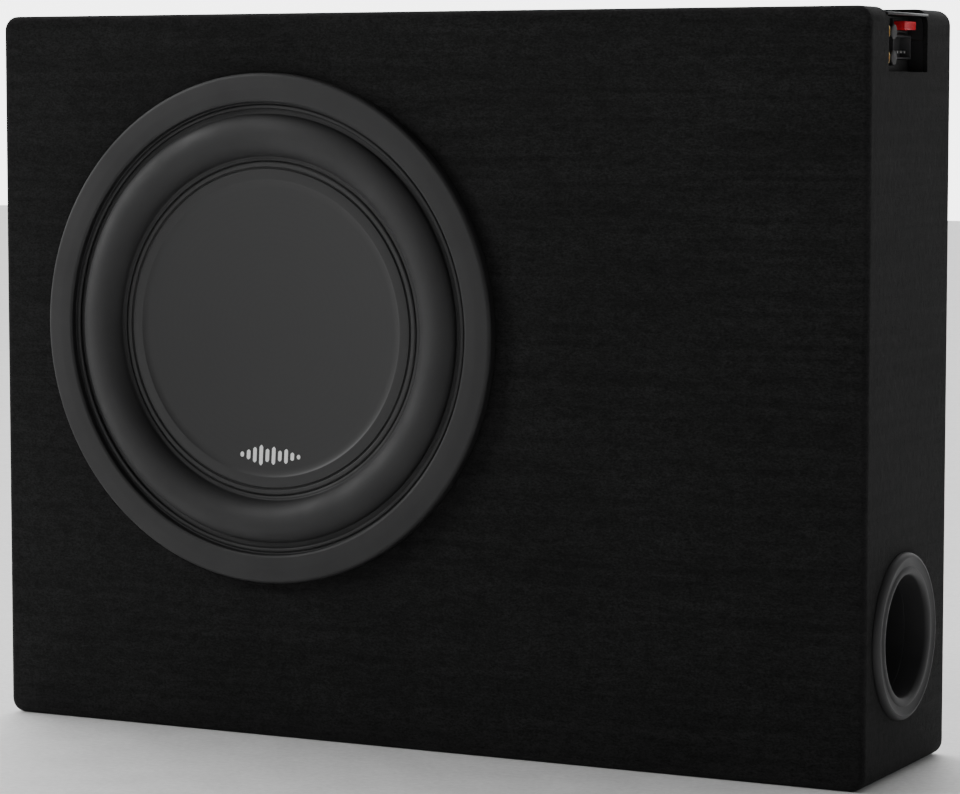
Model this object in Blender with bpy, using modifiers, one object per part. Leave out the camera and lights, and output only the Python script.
"""Powered car subwoofer: a slim carpeted box with a shallow woofer, a side port and a built-in amplifier.

Lengths are in millimetres and MM turns them into metres. The frame has +Z up and its origin at the middle
of the underside. The woofer faces -Y, and the port and the amplifier's terminals face +X.
"""

import math

import bmesh
import bpy
from mathutils import Vector

MM = 0.001
GAP = 0.3  # air between pieces that touch

# The cabinet's outside, and what it is made of
CABINET_WIDTH = 590.0
CABINET_DEPTH = 138.0
CABINET_HEIGHT = 450.0
EDGE_RADIUS = 9.0
CARPET = 3.0
BOARD = 15.0
CARPET_LIP = 9.15  # how far the front and back carpets fold round the edges

# The woofer: heights are measured from the baffle's front, towards the listener
WOOFER_X = -99.0
WOOFER_Z = 255.5
RING_RADIUS = 158.0
RING_TOP = 11.0
FLANGE_RADIUS = 151.5
BASKET_RADIUS = 134.6
SCREW_CIRCLE = 146.0
WOOFER_SCREWS = 8
SPOKES = 8
ROLL_OUTER = 132.5
ROLL_INNER = 107.0
ROLL_TOP = 13.0
DISH_RADIUS = 103.4
CONE_EDGE = 106.5
COIL_FORMER_RADIUS = 25.4
WALL = 1.6  # pressed steel
WINDOW_INNER = 84.0
WINDOW_OUTER = 124.0
SPOKE_HALF = 10.0
SPIDER_HEIGHT = -52.3
SPIDER_RADIUS = 75.0
SPIDER_WAVES = 3
TOP_PLATE_RADIUS = 65.0
BACK_PLATE_RADIUS = 66.0
MAGNET_RADIUS = 70.0
MAGNET_HOLE = 33.0
MAGNET_THICK = 20.0
WOOFER_SCREW_HOLE = 2.4
TAB_SIDE = 12.0  # each terminal tab, to the side of the block's middle

# The port
PORT_Y = -7.5
PORT_Z = 83.0
PORT_BORE = 36.0
PORT_PIPE = 38.0
PORT_FLANGE = 49.5
PORT_LENGTH = 255.0
PORT_PROUD = 4.5

# The amplifier: a plate let into the top, a tray below it and an end panel in the side's notch
PLATE_LEFT = 140.0
PLATE_FRONT = -39.5
PLATE_BACK = 28.5
PLATE_THICK = 1.5
NOTCH_FRONT = -39.0
NOTCH_BACK = 26.0
NOTCH_FLOOR = 413.0
PANEL_INSET = 12.0  # the end panel's face, in from the carpet
TRAY_LEFT = 150.0
TRAY_FRONT = -33.5
TRAY_BACK = 22.5
TRAY_FLOOR = 400.0
SHEET = 1.8  # the tray's aluminium

# The row of parts in the end panel
SOCKET_Y = 7.5
SOCKET_Z = 427.5
FUSE_Y = 7.5
FUSE_Z = 439.9
JACK_Y = -31.0
KNOB_Y = -17.0
LED_Y = -24.0
LOW_ROW = 421.0
HIGH_ROW = 436.0
FUSE_HALF = 9.5
FUSE_HIGH = 2.5
HOLDER_HALF = 12.0
CONTACT = 271.2  # the inner end of the fuse's two slots
SHAFT_HOLE = 3.3
PLATE_SCREW_HOLE = 1.8

TURN_STEPS = 40
MOTOR_STEPS = 28
SMALL_STEPS = 16
SCREW_STEPS = 8

# Planes worked out from the sizes above
SIDE = CABINET_WIDTH / 2
FACE = CABINET_DEPTH / 2
BOX_SIDE = SIDE - CARPET
BOX_FACE = FACE - CARPET
BOX_TOP = CABINET_HEIGHT - CARPET
INNER_SIDE = BOX_SIDE - BOARD
INNER_FACE = BOX_FACE - BOARD
PANEL_X = SIDE - PANEL_INSET
PLATE_TOP = BOX_TOP
PLATE_BOTTOM = PLATE_TOP - PLATE_THICK
PLATE_SCREW_X = (PLATE_LEFT + 4.5, INNER_SIDE - 12)
PLATE_SCREW_Y = (TRAY_FRONT - 3.4, TRAY_BACK + 3.4)
BEYOND = 20.0  # how far a cutter runs past what it cuts

COLOURS = {
    "carpet": ((0.012, 0.012, 0.013), 0.95, 0.0),
    "board": ((0.36, 0.25, 0.15), 0.8, 0.0),
    "black_steel": ((0.02, 0.02, 0.022), 0.45, 0.6),
    "rubber": ((0.028, 0.029, 0.031), 0.6, 0.0),
    "foam": ((0.02, 0.02, 0.02), 0.9, 0.0),
    "cone": ((0.03, 0.031, 0.034), 0.45, 0.0),
    "paper": ((0.05, 0.045, 0.04), 0.85, 0.0),
    "spider": ((0.45, 0.33, 0.12), 0.85, 0.0),
    "copper": ((0.6, 0.28, 0.12), 0.35, 0.9),
    "zinc": ((0.55, 0.55, 0.56), 0.35, 1.0),
    "ferrite": ((0.03, 0.03, 0.033), 0.6, 0.1),
    "plastic": ((0.022, 0.022, 0.024), 0.5, 0.0),
    "pipe": ((0.03, 0.03, 0.03), 0.55, 0.0),
    "aluminium": ((0.10, 0.10, 0.105), 0.4, 0.8),
    "circuit": ((0.02, 0.12, 0.06), 0.5, 0.0),
    "red": ((0.55, 0.01, 0.02), 0.35, 0.0),
    "gold": ((0.7, 0.5, 0.15), 0.3, 1.0),
    "lamp": ((0.05, 0.2, 0.6), 0.25, 0.0),
}

parts = None
cutters = None


# ---------------------------------------------------------------- helpers


def clear_scene():
    for each in list(bpy.data.objects):
        bpy.data.objects.remove(each, do_unlink=True)


def make_collection(name):
    collection = bpy.data.collections.new(name)
    bpy.context.scene.collection.children.link(collection)
    return collection


def material(name):
    found = bpy.data.materials.get(name)
    if found:
        return found
    colour, rough, metal = COLOURS[name]
    made = bpy.data.materials.new(name)
    made.use_nodes = True
    shader = made.node_tree.nodes["Principled BSDF"]
    shader.inputs["Base Color"].default_value = (*colour, 1.0)
    shader.inputs["Roughness"].default_value = rough
    shader.inputs["Metallic"].default_value = metal
    made.diffuse_color = (*colour, 1.0)
    return made


def add_object(name, data, paint, parent=None):
    """A piece of the model, or a cutter when it has no paint."""
    made = bpy.data.objects.new(name, data)
    if paint:
        data.materials.append(material(paint))
        parts.objects.link(made)
    else:
        made.hide_render = True
        made.display_type = "WIRE"
        cutters.objects.link(made)
    made.parent = parent
    return made


def box(name, low, high, paint=None, parent=None):
    low, high = Vector(low) * MM, Vector(high) * MM
    bm = bmesh.new()
    bmesh.ops.create_cube(bm, size=1.0)
    bmesh.ops.scale(bm, vec=high - low, verts=bm.verts)
    bmesh.ops.translate(bm, vec=(low + high) / 2, verts=bm.verts)
    mesh = bpy.data.meshes.new(name)
    bm.to_mesh(mesh)
    bm.free()
    return add_object(name, mesh, paint, parent)


def rounded_box(name, low, high, radius):
    made = box(name, low, high)
    bevel = made.modifiers.new("round edges", "BEVEL")
    bevel.width = radius * MM
    bevel.segments = 3
    return made


def turned(name, profile, paint=None, parent=None, steps=TURN_STEPS, thick=None, loop=True):
    """A profile of radius and height turned about the parent's Z axis, or a thin shell if thick is given."""
    bm = bmesh.new()
    points = [bm.verts.new((radius * MM, 0.0, height * MM)) for radius, height in profile]
    for a, b in zip(points, points[1:]):
        bm.edges.new((a, b))
    if loop:
        bm.edges.new((points[-1], points[0]))
    mesh = bpy.data.meshes.new(name)
    bm.to_mesh(mesh)
    bm.free()
    made = add_object(name, mesh, paint, parent)
    screw = made.modifiers.new("turn", "SCREW")
    screw.angle = 2 * math.pi
    screw.steps = screw.render_steps = steps
    screw.use_merge_vertices = True
    screw.merge_threshold = 0.00001
    screw.use_smooth_shade = True
    if thick:
        shell = made.modifiers.new("thickness", "SOLIDIFY")
        shell.thickness = thick * MM
        shell.offset = 0.0
    return made


def holes(name, places, radius, low, high, parent=None, steps=SMALL_STEPS):
    """One cutter of round rods that stand along the parent's Z axis at the given places."""
    bm = bmesh.new()
    for x, y in places:
        size = radius * MM
        depth = (high - low) * MM
        rod = bmesh.ops.create_cone(
            bm, cap_ends=True, segments=steps, depth=depth, radius1=size, radius2=size
        )
        bmesh.ops.translate(bm, vec=Vector((x, y, (low + high) / 2)) * MM, verts=rod["verts"])
    mesh = bpy.data.meshes.new(name)
    bm.to_mesh(mesh)
    bm.free()
    return add_object(name, mesh, None, parent)


def change(target, operation, *others):
    for other in others:
        boolean = target.modifiers.new(other.name, "BOOLEAN")
        boolean.operation = operation
        boolean.object = other
    return target


def wire(name, route, radius, paint, parent=None, samples=5):
    """A round wire along a smooth curve through the route's points."""
    stops = [Vector(p) for p in route]
    stops = [2 * stops[0] - stops[1], *stops, 2 * stops[-1] - stops[-2]]
    path = []
    for a, b, c, d in zip(stops, stops[1:], stops[2:], stops[3:]):
        for k in range(samples):
            t = k / samples
            slope = (c - a) * t
            bend = (2 * a - 5 * b + 4 * c - d) * t**2
            twist = (3 * b - 3 * c + d - a) * t**3
            path.append(0.5 * (2 * b + slope + bend + twist))
    path.append(stops[-2])
    curve = bpy.data.curves.new(name, "CURVE")
    curve.dimensions = "3D"
    curve.bevel_depth = radius * MM
    curve.bevel_resolution = 2
    curve.use_fill_caps = True
    spline = curve.splines.new("POLY")
    spline.points.add(len(path) - 1)
    for point, place in zip(spline.points, path):
        point.co = (*(place * MM), 1.0)
    return add_object(name, curve, paint, parent)


def axis_empty(name, place, turn):
    made = bpy.data.objects.new(name, None)
    made.location = Vector(place) * MM
    made.rotation_euler = turn
    parts.objects.link(made)
    return made


def around(count, radius, first=0.0):
    """Places evenly spaced on a circle."""
    angles = [first + 2 * math.pi * k / count for k in range(count)]
    return [(radius * math.cos(a), radius * math.sin(a)) for a in angles]


# ---------------------------------------------------------------- cabinet


def make_cutters(woofer, port):
    """The openings that the boards and the carpets share."""
    through = -BOARD - BEYOND
    notch_low = (INNER_SIDE, NOTCH_FRONT, NOTCH_FLOOR)
    notch_high = (SIDE + BEYOND, NOTCH_BACK, PLATE_BOTTOM + GAP)
    return {
        "woofer": holes("cut_woofer", [(0, 0)], BASKET_RADIUS + 2.4, through, BEYOND, woofer, TURN_STEPS),
        "screws": holes(
            "cut_woofer_screws",
            around(WOOFER_SCREWS, SCREW_CIRCLE, math.pi / WOOFER_SCREWS),
            WOOFER_SCREW_HOLE,
            through,
            BEYOND,
            woofer,
            SCREW_STEPS,
        ),
        "flange": holes("cut_flange", [(0, 0)], FLANGE_RADIUS + 1.5, 0, BEYOND, woofer, TURN_STEPS),
        "port": holes("cut_port", [(0, 0)], PORT_PIPE + 0.5, through - CARPET, BEYOND, port, TURN_STEPS),
        "notch": box("cut_notch", notch_low, notch_high),
        "tray": box(
            "cut_tray",
            (TRAY_LEFT - 1.5, TRAY_FRONT - 0.5, BOX_TOP - BOARD - BEYOND),
            (INNER_SIDE + 1, TRAY_BACK + 0.5, BOX_TOP + BEYOND),
        ),
        "plate": box(
            "cut_plate",
            (PLATE_LEFT - GAP, PLATE_FRONT - GAP, PLATE_BOTTOM - GAP),
            (SIDE + BEYOND, PLATE_BACK + GAP, CABINET_HEIGHT + BEYOND),
        ),
        "plate_screws": holes(
            "cut_plate_screws",
            [(x, y) for x in PLATE_SCREW_X for y in PLATE_SCREW_Y],
            PLATE_SCREW_HOLE,
            BOX_TOP - BOARD - BEYOND,
            BOX_TOP + BEYOND,
            None,
            SCREW_STEPS,
        ),
    }


def make_boards(cut):
    """Six fibreboard panels, all held inside one box with rounded edges."""
    outline = rounded_box(
        "board_outline", (-BOX_SIDE, -BOX_FACE, CARPET), (BOX_SIDE, BOX_FACE, BOX_TOP), EDGE_RADIUS - CARPET
    )
    inner_y = INNER_FACE - GAP
    inner_low = CARPET + BOARD + GAP
    inner_high = BOX_TOP - BOARD - GAP
    panels = {
        "front_baffle": ((-BOX_SIDE, -BOX_FACE, CARPET), (BOX_SIDE, -INNER_FACE, BOX_TOP)),
        "back_panel": ((-BOX_SIDE, INNER_FACE, CARPET), (BOX_SIDE, BOX_FACE, BOX_TOP)),
        "top_panel": ((-BOX_SIDE, -inner_y, BOX_TOP - BOARD), (BOX_SIDE, inner_y, BOX_TOP)),
        "bottom_panel": ((-BOX_SIDE, -inner_y, CARPET), (BOX_SIDE, inner_y, CARPET + BOARD)),
        "left_panel": ((-BOX_SIDE, -inner_y, inner_low), (-INNER_SIDE, inner_y, inner_high)),
        "right_panel": ((INNER_SIDE, -inner_y, inner_low), (BOX_SIDE, inner_y, inner_high)),
    }
    openings = {
        "front_baffle": ("woofer", "screws"),
        "top_panel": ("tray", "plate", "notch", "plate_screws"),
        "right_panel": ("port", "notch"),
    }
    for name, (low, high) in panels.items():
        panel = change(box(name, low, high, "board"), "INTERSECT", outline)
        change(panel, "DIFFERENCE", *[cut[key] for key in openings.get(name, ())])


def make_carpets(cut):
    """Six carpet pieces: the shell between two rounded boxes, divided along the cabinet's edges."""
    outside = rounded_box("carpet_outside", (-SIDE, -FACE, 0), (SIDE, FACE, CABINET_HEIGHT), EDGE_RADIUS)
    inner_low = (-BOX_SIDE - GAP, -BOX_FACE - GAP, CARPET - GAP)
    inner_high = (BOX_SIDE + GAP, BOX_FACE + GAP, BOX_TOP + GAP)
    inside = rounded_box("carpet_inside", inner_low, inner_high, EDGE_RADIUS - CARPET + GAP)
    far = SIDE + BEYOND
    fold_y = FACE - CARPET_LIP
    fold_x = SIDE - CARPET_LIP
    y = fold_y - GAP
    x = fold_x - GAP
    middle = CABINET_HEIGHT / 2
    pieces = {
        "carpet_front": ((-far, -far, -far), (far, -fold_y, far * 2)),
        "carpet_back": ((-far, fold_y, -far), (far, far, far * 2)),
        "carpet_left": ((-far, -y, -far), (-fold_x, y, far * 2)),
        "carpet_right": ((fold_x, -y, -far), (far, y, far * 2)),
        "carpet_top": ((-x, -y, middle), (x, y, far * 2)),
        "carpet_bottom": ((-x, -y, -far), (x, y, middle)),
    }
    openings = {
        "carpet_front": ("flange",),
        "carpet_top": ("plate",),
        "carpet_right": ("port", "plate", "notch"),
    }
    for name, (low, high) in pieces.items():
        piece = change(box(name, low, high, "carpet"), "INTERSECT", outside)
        change(piece, "DIFFERENCE", inside, *[cut[key] for key in openings.get(name, ())])


# ---------------------------------------------------------------- woofer


def make_basket(woofer, cut_screws):
    """A pressed steel basket: flange, conical wall with windows, spider ledge and magnet seat."""
    seat = 63.0
    ledge = 77.6
    flange_back = 2.6
    turn = flange_back + WALL
    basket = turned(
        "woofer_basket",
        [
            (FLANGE_RADIUS, turn),
            (FLANGE_RADIUS, flange_back),
            (BASKET_RADIUS, flange_back),
            (BASKET_RADIUS, -12.0),
            (ledge, -51.0),
            (ledge, -53.0 - WALL),
            (seat, -53.0 - WALL),
            (seat, -66.5 - WALL),
            (30.0, -66.5 - WALL),
            (30.0, -66.5),
            (seat - WALL, -66.5),
            (seat - WALL, -53.0),
            (ledge - WALL, -53.0),
            (ledge - WALL, -50.1),
            (BASKET_RADIUS - WALL, -11.1),
            (BASKET_RADIUS - WALL, turn),
        ],
        "black_steel",
        woofer,
    )
    windows = bmesh.new()
    low, high = -60.0, -8.0
    for place in around(SPOKES, 1.0, math.pi / SPOKES):
        window = bmesh.ops.create_cube(windows, size=1.0)["verts"]
        for vert in window:
            radius = WINDOW_OUTER if vert.co.x > 0 else WINDOW_INNER
            half_width = math.pi * radius / SPOKES - SPOKE_HALF
            across = half_width if vert.co.y > 0 else -half_width
            height = high if vert.co.z > 0 else low
            x = radius * place[0] - across * place[1]
            y = radius * place[1] + across * place[0]
            vert.co = Vector((x, y, height)) * MM
    mesh = bpy.data.meshes.new("cut_windows")
    windows.to_mesh(mesh)
    windows.free()
    change(basket, "DIFFERENCE", add_object("cut_windows", mesh, None, woofer), cut_screws)

    gasket = turned(
        "woofer_gasket",
        [(FLANGE_RADIUS, 2.3), (FLANGE_RADIUS, GAP), (138.0, GAP), (138.0, 2.3)],
        "foam",
        woofer,
    )
    change(gasket, "DIFFERENCE", cut_screws)

    seat_height = turn + GAP
    for number, (x, y) in enumerate(around(WOOFER_SCREWS, SCREW_CIRCLE, math.pi / WOOFER_SCREWS), 1):
        screw = turned(
            f"woofer_screw_{number}",
            [
                (0, 6.6),
                (2.6, 6.5),
                (4.0, 5.4),
                (4.0, seat_height),
                (1.9, seat_height),
                (1.9, -13.0),
                (0, -14.0),
            ],
            "zinc",
            woofer,
            SCREW_STEPS,
            None,
            False,
        )
        screw.location = Vector((x, y, 0)) * MM


def make_trim_ring(woofer):
    """A moulded ring that hides the flange and its screws, with a groove and a bead at its inner edge."""
    turned(
        "trim_ring",
        [
            (149.0, RING_TOP),
            (155.2, RING_TOP - 0.4),
            (157.4, RING_TOP - 2.0),
            (RING_RADIUS, RING_TOP - 4.6),
            (RING_RADIUS, CARPET + GAP),
            (FLANGE_RADIUS + 1.1, CARPET + GAP),
            (FLANGE_RADIUS + 1.1, 7.3),
            (141.2, 7.3),
            (141.2, 5.7),
            (136.0, 5.7),
            (136.0, 8.0),
            (137.0, 8.8),
            (138.4, 8.8),
            (138.8, 7.4),
            (139.8, 7.4),
            (140.2, 10.2),
            (142.0, RING_TOP),
        ],
        "rubber",
        woofer,
    )


def make_surround(woofer):
    """A tall rubber half roll between the flange and the cone's edge."""
    middle = (ROLL_OUTER + ROLL_INNER) / 2
    half = (ROLL_OUTER - ROLL_INNER) / 2
    outer_foot, inner_foot = 4.9, 2.1
    lean = 1.4
    roll = []
    arcs = 9
    for k in range(arcs + 1):
        angle = math.pi * k / arcs
        foot = outer_foot + (inner_foot - outer_foot) * k / arcs
        radius = middle + half * math.cos(angle) + lean * math.sin(angle)
        roll.append((radius, foot + (ROLL_TOP - 0.4 - foot) * math.sin(angle)))
    profile = [(139.4, outer_foot), *roll, (DISH_RADIUS + 0.8, inner_foot)]
    turned("surround", profile, "rubber", woofer, TURN_STEPS, 0.8, False)


def make_moving_parts(woofer):
    """The cone, its dish, the voice coil and its former, which slide together, and the spider."""
    turned(
        "cone",
        [
            (CONE_EDGE, 1.4),
            (CONE_EDGE, 0.4),
            (97.0, 0.4),
            (COIL_FORMER_RADIUS + 1.5, -43.6),
            (COIL_FORMER_RADIUS + 1.3, -47.0),
            (COIL_FORMER_RADIUS + GAP, -47.0),
            (COIL_FORMER_RADIUS + GAP, -42.4),
            (96.6, 1.4),
        ],
        "paper",
        woofer,
    )
    rim = [(96.0, 1.7), (DISH_RADIUS, 1.7), (DISH_RADIUS, 3.0)]
    bowl_radius = DISH_RADIUS - 4.0
    sag = 6.5
    rings = 4
    front = [(bowl_radius * k / rings, 2.6 - sag * (1 - (k / rings) ** 2)) for k in range(rings + 1)]
    back = [(radius * 0.96, height - 1.0) for radius, height in front[:-1]]
    turned("dish_cap", [*front, *reversed(rim), *reversed(back)], "cone", woofer, TURN_STEPS, None, False)
    turned(
        "coil_former",
        [
            (COIL_FORMER_RADIUS, -42.0),
            (COIL_FORMER_RADIUS, -81.4),
            (COIL_FORMER_RADIUS - 0.6, -81.4),
            (COIL_FORMER_RADIUS - 0.6, -42.0),
        ],
        "aluminium",
        woofer,
        MOTOR_STEPS,
    )
    coil_inner = COIL_FORMER_RADIUS + GAP
    turned(
        "voice_coil",
        [(coil_inner + 1, -63.9), (coil_inner + 1, -80.9), (coil_inner, -80.9), (coil_inner, -63.9)],
        "copper",
        woofer,
        MOTOR_STEPS,
    )
    flat_in, flat_out = 30.0, 66.0
    wave_height = 1.8
    folds = SPIDER_WAVES * 4
    corrugation = []
    for k in range(folds + 1):
        radius = flat_out + (flat_in - flat_out) * k / folds
        lift = wave_height * math.sin(2 * math.pi * SPIDER_WAVES * k / folds)
        corrugation.append((radius, SPIDER_HEIGHT + lift))
    clamp = (SPIDER_RADIUS, SPIDER_HEIGHT)
    collar = (COIL_FORMER_RADIUS + GAP, SPIDER_HEIGHT)
    profile = [clamp, *corrugation, collar]
    turned("spider", profile, "spider", woofer, MOTOR_STEPS, 0.6, False)


def make_motor(woofer):
    """Top plate, ring magnet and back plate with its vented pole."""
    gap_top, gap_bottom = -68.4, -76.4
    magnet_top = gap_bottom - GAP
    magnet_bottom = magnet_top - MAGNET_THICK
    plate_bottom = magnet_bottom - GAP - 8.0
    pole, vent = COIL_FORMER_RADIUS - 1.0, 8.0
    hole = COIL_FORMER_RADIUS + 1.9
    turned(
        "motor_top_plate",
        [(TOP_PLATE_RADIUS, gap_top), (TOP_PLATE_RADIUS, gap_bottom), (hole, gap_bottom), (hole, gap_top)],
        "zinc",
        woofer,
        MOTOR_STEPS,
    )
    turned(
        "magnet",
        [
            (MAGNET_RADIUS, magnet_top),
            (MAGNET_RADIUS, magnet_bottom),
            (MAGNET_HOLE, magnet_bottom),
            (MAGNET_HOLE, magnet_top),
        ],
        "ferrite",
        woofer,
        MOTOR_STEPS,
    )
    turned(
        "motor_back_plate",
        [
            (pole, gap_top),
            (pole, magnet_bottom - GAP),
            (BACK_PLATE_RADIUS - 1.0, magnet_bottom - GAP),
            (BACK_PLATE_RADIUS, magnet_bottom - GAP - 1.0),
            (BACK_PLATE_RADIUS, plate_bottom),
            (vent, plate_bottom),
            (vent, gap_top),
        ],
        "zinc",
        woofer,
        MOTOR_STEPS,
    )


def make_terminals(woofer):
    """The woofer's terminal block, its two flexible leads and the wires to the amplifier."""
    block = box("woofer_terminal", (63.4, -17, -66.5), (76.0, 17, -57.0), "plastic", woofer)
    tab_end = 86.0
    for side, letter in ((-1, "a"), (1, "b")):
        across = side * TAB_SIDE
        tab = box(f"tab_{letter}", (74.0, across - 4, -62.4), (tab_end, across + 4, -61.6), None, woofer)
        change(block, "UNION", tab)
        lead = [
            (52.0, across, -29.3),
            (60.0, side * 14, -37.0),
            (76.0, side * 17, -37.0),
            (90.0, side * 19, -43.0),
            (91.0, side * 17, -51.0),
            (85.5, side * 13.5, -58.0),
            (80.0, across, -60.4),
        ]
        wire(f"tinsel_lead_{letter}", lead, 0.8, "copper", woofer, 4)
    start_x = WOOFER_X + tab_end + GAP
    start_y = -BOX_FACE + 62.0
    end_x = TRAY_LEFT - 9.6
    for side, letter, paint in ((-1, "black", "plastic"), (1, "red", "red")):
        route = [
            (start_x, start_y, WOOFER_Z + side * TAB_SIDE),
            (start_x + 25, start_y + 1 + side * 2, WOOFER_Z + 2 + side * 11),
            (60, 1 + side * 4, 292 + side * 6),
            (98, 1 + side * 4, 362 - side),
            (118, -4 + side * 4, 405),
            (end_x - 8, -5 + side * 4, 412.8),
            (end_x, -5 + side * 4, 413),
        ]
        wire(f"speaker_wire_{letter}", route, 1.2, paint, None, 4)


# ---------------------------------------------------------------- port


def make_port(port):
    """A flared flange on the side and the pipe behind it; heights are measured out from the carpet."""
    throat = -11.0
    turned(
        "port_flange",
        [
            (46.5, PORT_PROUD),
            (48.6, 3.6),
            (PORT_FLANGE, 1.8),
            (PORT_FLANGE, GAP),
            (PORT_PIPE, GAP),
            (PORT_PIPE, throat),
            (PORT_BORE, throat),
            (PORT_BORE + 0.4, -6.0),
            (PORT_BORE + 2.0, -1.0),
            (PORT_BORE + 4.6, 2.4),
            (PORT_BORE + 7.6, 4.1),
        ],
        "plastic",
        port,
    )
    turned(
        "port_pipe",
        [
            (PORT_PIPE, throat - GAP),
            (PORT_PIPE, -PORT_LENGTH),
            (PORT_BORE, -PORT_LENGTH),
            (PORT_BORE, throat - GAP),
        ],
        "pipe",
        port,
        MOTOR_STEPS,
    )


# ---------------------------------------------------------------- amplifier


def make_amplifier(cut):
    """The plate, the tray under it, the end panel and what is on the circuit board."""
    plate_low = (PLATE_LEFT, PLATE_FRONT, PLATE_BOTTOM)
    plate_high = (SIDE - 0.5, PLATE_BACK, PLATE_TOP)
    change(box("amp_plate", plate_low, plate_high, "aluminium"), "DIFFERENCE", cut["plate_screws"])
    for number, (x, y) in enumerate([(x, y) for x in PLATE_SCREW_X for y in PLATE_SCREW_Y], 1):
        head = PLATE_TOP + GAP
        screw = turned(
            f"plate_screw_{number}",
            [
                (0, head + 1.6),
                (1.8, head + 1.4),
                (2.8, head + 0.5),
                (2.8, head),
                (1.4, head),
                (1.4, head - 13),
                (0, head - 14),
            ],
            "zinc",
            None,
            SCREW_STEPS,
            None,
            False,
        )
        screw.location = Vector((x, y, 0)) * MM

    tray_right = INNER_SIDE - 0.4
    tray_top = PLATE_BOTTOM - GAP
    tray_low = (TRAY_LEFT, TRAY_FRONT, TRAY_FLOOR)
    tray = box("amp_tray", tray_low, (tray_right, TRAY_BACK, tray_top), "aluminium")
    hollow = box(
        "cut_tray_hollow",
        (TRAY_LEFT + SHEET, TRAY_FRONT + SHEET, TRAY_FLOOR + SHEET),
        (tray_right - SHEET, TRAY_BACK - SHEET, tray_top + BEYOND),
    )
    mouth = box(
        "cut_tray_mouth",
        (tray_right - SHEET - 5, TRAY_FRONT + SHEET, NOTCH_FLOOR + 1),
        (tray_right + 5, TRAY_BACK - SHEET, tray_top + BEYOND),
    )
    change(tray, "DIFFERENCE", hollow, mouth)

    front, back = NOTCH_FRONT + GAP, NOTCH_BACK - GAP
    low, high = NOTCH_FLOOR + GAP, PLATE_BOTTOM - GAP
    panel = box("amp_end_panel", (INNER_SIDE + GAP, front, low), (PANEL_X, back, high), "black_steel")
    change(
        panel,
        "DIFFERENCE",
        box("cut_panel_back", (0, front + 1.5, low + 1.5), (PANEL_X - 2, back - 1.5, high - 1.5)),
        box("cut_socket", (0, SOCKET_Y - 15.4, SOCKET_Z - 7.4), (SIDE, SOCKET_Y + 15.4, SOCKET_Z + 7.4)),
        box("cut_fuse", (0, FUSE_Y - 12.4, FUSE_Z - 4.3), (SIDE, FUSE_Y + 12.4, FUSE_Z + 4.2)),
    )
    panel_axis = axis_empty("panel_axis", (PANEL_X, 0, 0), (0, math.pi / 2, 0))
    rows = (LOW_ROW, HIGH_ROW)
    change(
        panel,
        "DIFFERENCE",
        holes("cut_jacks", [(-z, JACK_Y) for z in rows], 4.3, -5, 5, panel_axis),
        holes("cut_shafts", [(-z, KNOB_Y) for z in rows], SHAFT_HOLE, -5, 5, panel_axis),
        holes("cut_led", [(-(LOW_ROW + HIGH_ROW) / 2, LED_Y)], 1.9, -5, 5, panel_axis),
    )

    board_low = TRAY_FLOOR + SHEET + 2.0
    board_high = board_low + 1.6
    box(
        "amp_board",
        (TRAY_LEFT + 4, TRAY_FRONT + SHEET + 1, board_low),
        (tray_right - 4, TRAY_BACK - SHEET - 1, board_high),
        "circuit",
    )
    choke = turned("amp_choke", ring_section(13.0, 6.0, 6.0), "copper", None, SMALL_STEPS)
    choke.location = Vector((182.0, -6.0, board_high + GAP + 6.0)) * MM
    section = can_section(8.0, 30.0)
    for number, x in enumerate((214.0, 234.0), 1):
        can = turned(f"amp_capacitor_{number}", section, "plastic", None, SMALL_STEPS, None, False)
        can.location = Vector((x, 6.0, board_high + GAP)) * MM
    box("output_block", (TRAY_LEFT - 9.2, -14, 407), (TRAY_LEFT - GAP, 4, 419), "plastic")
    return panel_axis


def ring_section(middle, half_width, half_height):
    """A round section for a turned ring, starting at its top and going down its outer side."""
    angles = [math.pi / 2 - 2 * math.pi * k / 10 for k in range(10)]
    return [(middle + half_width * math.cos(a), half_height * math.sin(a)) for a in angles]


def can_section(radius, height):
    return [(0, height), (radius - 0.8, height), (radius, height - 0.8), (radius, 0), (0, 0)]


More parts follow.
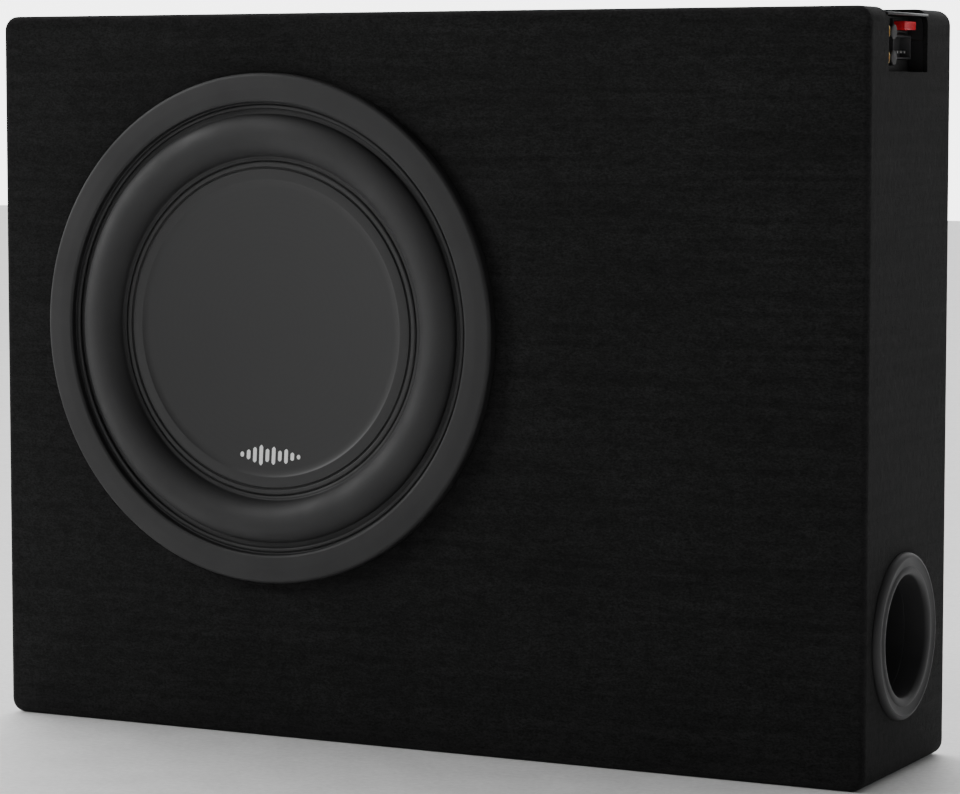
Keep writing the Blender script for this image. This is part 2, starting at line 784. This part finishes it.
def make_end_panel_parts(panel_axis):
    """Power socket, fuse and holder, two jacks, two knobs on their pots and a lamp."""
    socket_face = PANEL_X + 3.0
    socket = box(
        "power_socket",
        (INNER_SIDE + 0.5, SOCKET_Y - 15, SOCKET_Z - 7),
        (socket_face, SOCKET_Y + 15, SOCKET_Z + 7),
        "plastic",
    )
    mouth = box(
        "cut_socket_mouth",
        (INNER_SIDE + 2.0, SOCKET_Y - 13.2, SOCKET_Z - 5.4),
        (socket_face + BEYOND, SOCKET_Y + 13.2, SOCKET_Z + 5.4),
    )
    change(socket, "DIFFERENCE", mouth)
    for number, y in enumerate((-9.0, -3.0, 3.0, 9.0), 1):
        pin = box(
            f"pin_{number}",
            (INNER_SIDE + 1.0, SOCKET_Y + y - 0.8, SOCKET_Z - 3.6),
            (socket_face - 1.5, SOCKET_Y + y + 0.8, SOCKET_Z - 2.0),
        )
        change(socket, "UNION", pin)

    holder_low = (268, FUSE_Y - HOLDER_HALF, FUSE_Z - 3.9)
    holder_high = (PANEL_X + 1.5, FUSE_Y + HOLDER_HALF, FUSE_Z + 3.8)
    holder = box("fuse_holder", holder_low, holder_high, "plastic")
    pocket = PANEL_X - 3.8
    head = pocket + GAP
    fuse_low = (head, FUSE_Y - FUSE_HALF, FUSE_Z - FUSE_HIGH)
    fuse_high = (head + 11.5, FUSE_Y + FUSE_HALF, FUSE_Z + FUSE_HIGH)
    fuse = box("fuse", fuse_low, fuse_high, "red")
    pocket_low = (pocket, FUSE_Y - FUSE_HALF - 0.4, FUSE_Z - FUSE_HIGH - 0.4)
    pocket_high = (SIDE, FUSE_Y + FUSE_HALF + 0.4, FUSE_Z + FUSE_HIGH + 0.4)
    change(holder, "DIFFERENCE", box("cut_pocket", pocket_low, pocket_high))
    for name, near, far in (("front", -9.1, -3.9), ("back", 3.9, 9.1)):
        slot_low = (CONTACT - GAP, FUSE_Y + near - 0.5, FUSE_Z - 0.8)
        slot_high = (SIDE, FUSE_Y + far + 0.5, FUSE_Z + 0.8)
        change(holder, "DIFFERENCE", box(f"cut_slot_{name}", slot_low, slot_high))
        blade_low = (CONTACT + GAP, FUSE_Y + near, FUSE_Z - 0.35)
        blade_high = (head + 3, FUSE_Y + far, FUSE_Z + 0.35)
        change(fuse, "UNION", box(f"blade_{name}", blade_low, blade_high))

    for number, z in enumerate((LOW_ROW, HIGH_ROW), 1):
        jack = turned(
            f"signal_jack_{number}",
            [
                (4.15, 8.3),
                (4.15, 1.5),
                (5.4, 1.5),
                (5.4, GAP),
                (4.0, GAP),
                (4.0, -5.5),
                (1.7, -5.5),
                (1.7, 8.3),
            ],
            "gold",
            panel_axis,
            SMALL_STEPS,
        )
        jack.location = Vector((-z, JACK_Y, 0)) * MM
    for name, z in (("crossover_knob", LOW_ROW), ("level_knob", HIGH_ROW)):
        knob = turned(
            name,
            [(0, 7.4), (4.0, 7.4), (4.5, 6.8), (4.7, 0.8), (3.0, 0.8), (3.0, -12.5), (0, -12.5)],
            "plastic",
            panel_axis,
            SMALL_STEPS,
            None,
            False,
        )
        knob.location = Vector((-z, KNOB_Y, 0)) * MM
        slot = box(f"cut_{name}", (-6.0, -0.7, 6.2), (0, 0.7, 9.0), None, knob)
        change(knob, "DIFFERENCE", slot)
    pots = box("control_pots", (264.0, KNOB_Y - 5, 415.5), (PANEL_X - 2.5, KNOB_Y + 5, 441.5), "plastic")
    change(
        pots,
        "DIFFERENCE",
        holes("cut_pots", [(-z, KNOB_Y) for z in (LOW_ROW, HIGH_ROW)], SHAFT_HOLE, -13.2, 5, panel_axis),
    )
    lamp = turned(
        "status_lamp",
        [(0, 2.2), (1.0, 1.9), (1.5, 1.0), (1.5, -6.0), (0, -6.0)],
        "lamp",
        panel_axis,
        12,
        None,
        False,
    )
    lamp.location = Vector((-(LOW_ROW + HIGH_ROW) / 2, LED_Y, 0)) * MM


def build():
    global parts, cutters
    clear_scene()
    parts = make_collection("car_subwoofer")
    cutters = make_collection("cutters")
    woofer = axis_empty("woofer_axis", (WOOFER_X, -BOX_FACE, WOOFER_Z), (math.pi / 2, 0, 0))
    port = axis_empty("port_axis", (SIDE, PORT_Y, PORT_Z), (0, math.pi / 2, 0))
    cut = make_cutters(woofer, port)
    make_boards(cut)
    make_carpets(cut)
    make_basket(woofer, cut["screws"])
    make_trim_ring(woofer)
    make_surround(woofer)
    make_moving_parts(woofer)
    make_motor(woofer)
    make_terminals(woofer)
    make_port(port)
    panel_axis = make_amplifier(cut)
    make_end_panel_parts(panel_axis)


build()
